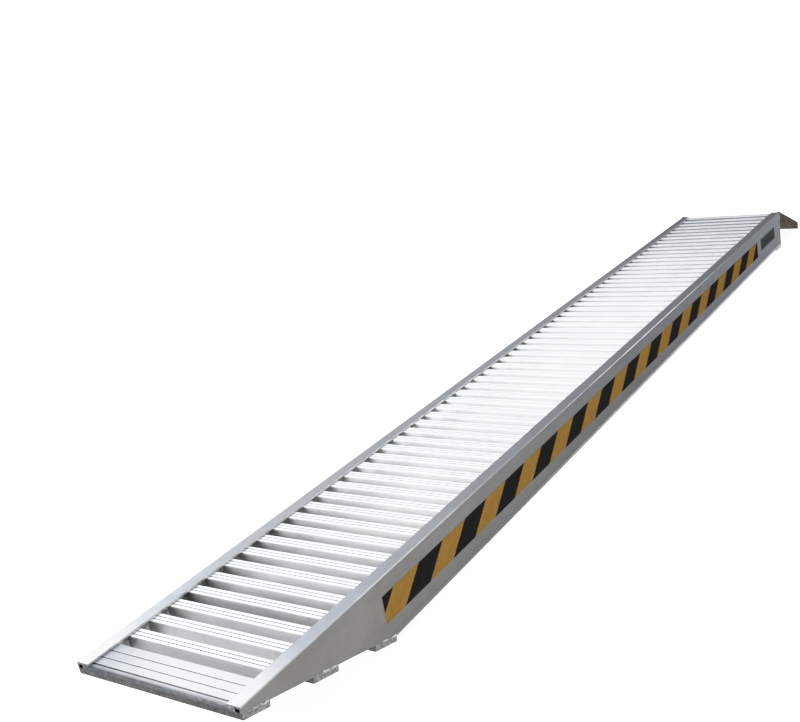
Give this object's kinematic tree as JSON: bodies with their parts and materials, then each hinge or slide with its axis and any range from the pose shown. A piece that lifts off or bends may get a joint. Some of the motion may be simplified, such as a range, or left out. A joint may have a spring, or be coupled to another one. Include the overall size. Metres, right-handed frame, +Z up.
{
  "type": "portable access ramp",
  "caption": "One-piece welded aluminium access ramp: two tapered box-section beams carry a deck of grooved cross rungs, with a ribbed nose plate and a sloping tongue.",
  "frame": {"origin": "middle of the ramp's bounding box on the ground it lies on, under the two lowest cross bars", "axes": "+X along the ramp from the nose to the tongue, +Y towards the left beam, +Z up, square to the deck"},
  "size_m": [4.075, 0.455, 0.1665],
  "materials": {
    "mill_tread": "bright mill finish",
    "nose_extrusion": "bright mill finish",
    "beam_extrusion": "satin mill finish, lightly brushed along the length",
    "flat_bar": "sawn and mill finish",
    "tongue_plate": "dull mill finish plate",
    "weld_bead": "as-welded beads",
    "tape_yellow": "satin adhesive tape",
    "tape_black": "satin printed bars",
    "label": "satin blank label"
  },
  "bodies": {
    "root": {"end_plate": "tongue_plate", "foot_bar_front": "flat_bar", "foot_bar_middle": "flat_bar", "foot_bar_rear": "flat_bar", "label_plate": "label", "left_bar_welds": "weld_bead", "left_beam": "beam_extrusion", "left_hazard_tape": "tape_yellow", "left_rung_welds": "weld_bead", "left_tape_stripes": "tape_black", "left_tongue_cheek": "tongue_plate", "left_tongue_weld": "weld_bead", "nose_plate": "nose_extrusion", "right_bar_welds": "weld_bead", "right_beam": "beam_extrusion", "right_hazard_tape": "tape_yellow", "right_rung_welds": "weld_bead", "right_tape_stripes": "tape_black", "right_tongue_cheek": "tongue_plate", "right_tongue_weld": "weld_bead", "rungs_01_02": "mill_tread", "rungs_03_04": "mill_tread", "rungs_05_06": "mill_tread", "rungs_07_08": "mill_tread", "rungs_09_10": "mill_tread", "rungs_11_12": "mill_tread", "rungs_13_14": "mill_tread", "rungs_15_16": "mill_tread", "rungs_17_18": "mill_tread", "rungs_19_20": "mill_tread", "rungs_21_22": "mill_tread", "rungs_23_24": "mill_tread", "rungs_25_26": "mill_tread", "rungs_27_28": "mill_tread", "rungs_29_30": "mill_tread", "rungs_31_32": "mill_tread", "rungs_33_34": "mill_tread", "rungs_35_36": "mill_tread", "rungs_37_38": "mill_tread", "rungs_39_40": "mill_tread", "rungs_41_42": "mill_tread", "rungs_43_44": "mill_tread", "rungs_45_46": "mill_tread", "rungs_47_48": "mill_tread", "rungs_49_50": "mill_tread", "rungs_51_52": "mill_tread", "rungs_53_54": "mill_tread", "rungs_55_56": "mill_tread", "rungs_57_58": "mill_tread", "rungs_59_60": "mill_tread", "rungs_61": "mill_tread", "tongue_inner_ribs": "tongue_plate", "tongue_plate": "tongue_plate", "tongue_tip_bar": "tongue_plate", "top_bar": "flat_bar"}
  },
  "joints": []
}
